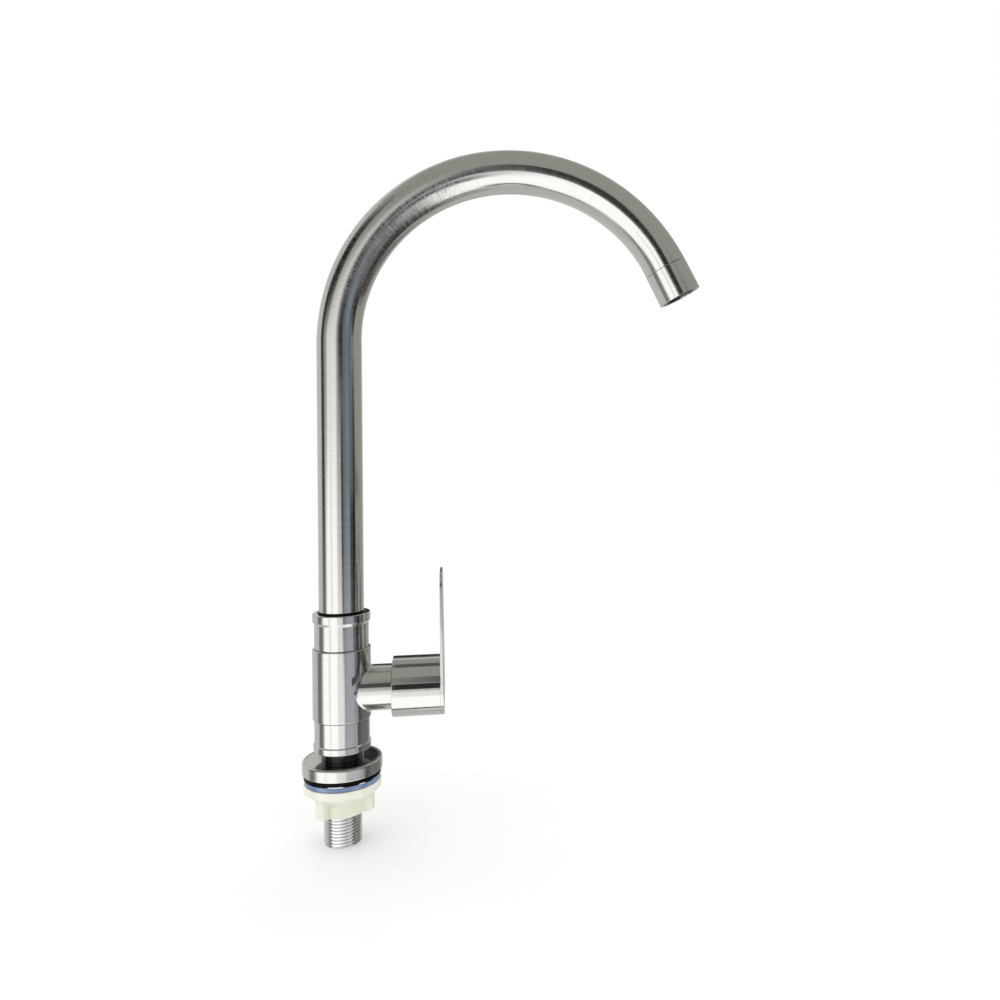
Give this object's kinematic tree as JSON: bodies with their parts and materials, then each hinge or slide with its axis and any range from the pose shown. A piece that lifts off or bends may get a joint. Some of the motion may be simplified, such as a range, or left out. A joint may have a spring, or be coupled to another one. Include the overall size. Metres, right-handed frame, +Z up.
{
  "type": "kitchen tap",
  "caption": "Deck-mounted kitchen tap with a round swan-neck swivel spout, a side quarter-turn valve with a flat lever, a cover flange and a threaded shank with backnut.",
  "frame": {"origin": "on the tap's axis, in the seating face under the cover flange", "axes": "+Z up along the tap's axis, +X along the side branch towards the lever, +Y to the back; the spout rests 4.2 degrees from +X towards the front"},
  "size_m": [0.2306, 0.0494, 0.3977],
  "materials": {
    "spout_steel": "finely brushed around the tube, satin",
    "body_steel": "turned and polished, satin",
    "thread_steel": "bright turned thread",
    "handle_steel": "polished, satin",
    "mesh_steel": "fine screen",
    "spring_steel": "bright spring steel",
    "brass": "turned",
    "ceramic": "lapped",
    "black_rubber": "smooth, slightly glossy",
    "blue_plastic": "glossy, slightly milky",
    "ivory_plastic": "moulded, satin",
    "white_plastic": "moulded"
  },
  "bodies": {
    "body": {"upper_collar": "body_steel", "collar_o_ring": "black_rubber", "slip_ring": "white_plastic", "clip_washer": "white_plastic", "tee_body": "body_steel", "valve_socket": "body_steel", "lower_collar": "body_steel", "inlet_shank": "thread_steel", "shank_o_ring": "black_rubber", "neck_ring": "black_rubber", "base_flange": "body_steel", "seat_seal": "black_rubber", "fixed_disc": "ceramic", "cartridge_body": "brass", "cartridge_o_ring": "black_rubber", "retaining_nut": "brass"},
    "spout": {"spout_tube": "spout_steel", "outlet_nozzle": "spout_steel", "aerator_washer": "black_rubber", "aerator_housing": "body_steel", "aerator_core": "white_plastic", "aerator_screens": "mesh_steel", "swivel_stem": "brass", "stem_o_rings": "black_rubber", "retaining_clip": "spring_steel"},
    "handle": {"moving_disc": "ceramic", "spindle": "brass", "spindle_o_rings": "black_rubber", "spindle_clip": "spring_steel", "handle_hub": "brass", "handle_sleeve": "handle_steel", "lever_blade": "handle_steel", "grub_screw": "spring_steel"},
    "washers": {"rubber_washer": "black_rubber", "clamp_washer": "blue_plastic"},
    "nut": {"backnut": "ivory_plastic"}
  },
  "joints": [
    {"name": "spout_swivel", "type": "hinge", "parent": "body", "child": "spout", "pos_m": [0, 0, 0.09], "axis": [0, 0, 1], "continuous": true},
    {"name": "handle_turn", "type": "hinge", "parent": "body", "child": "handle", "pos_m": [0.05, 0, 0.046], "axis": [1, 0, 0], "range_deg": [0, 90]},
    {"name": "washer_slide", "type": "slide", "parent": "body", "child": "washers", "axis": [0, 0, -1], "range_m": [0, 0.01814]},
    {"name": "nut_turn", "type": "hinge", "parent": "washers", "child": "nut", "pos_m": [0, 0, -0.0058], "axis": [0, 0, -1], "range_deg": [0, 3600]}
  ],
  "couplings": [
    {"joint": "washer_slide", "follows": "nut_turn", "m_per_rad": 0.00028875}
  ]
}
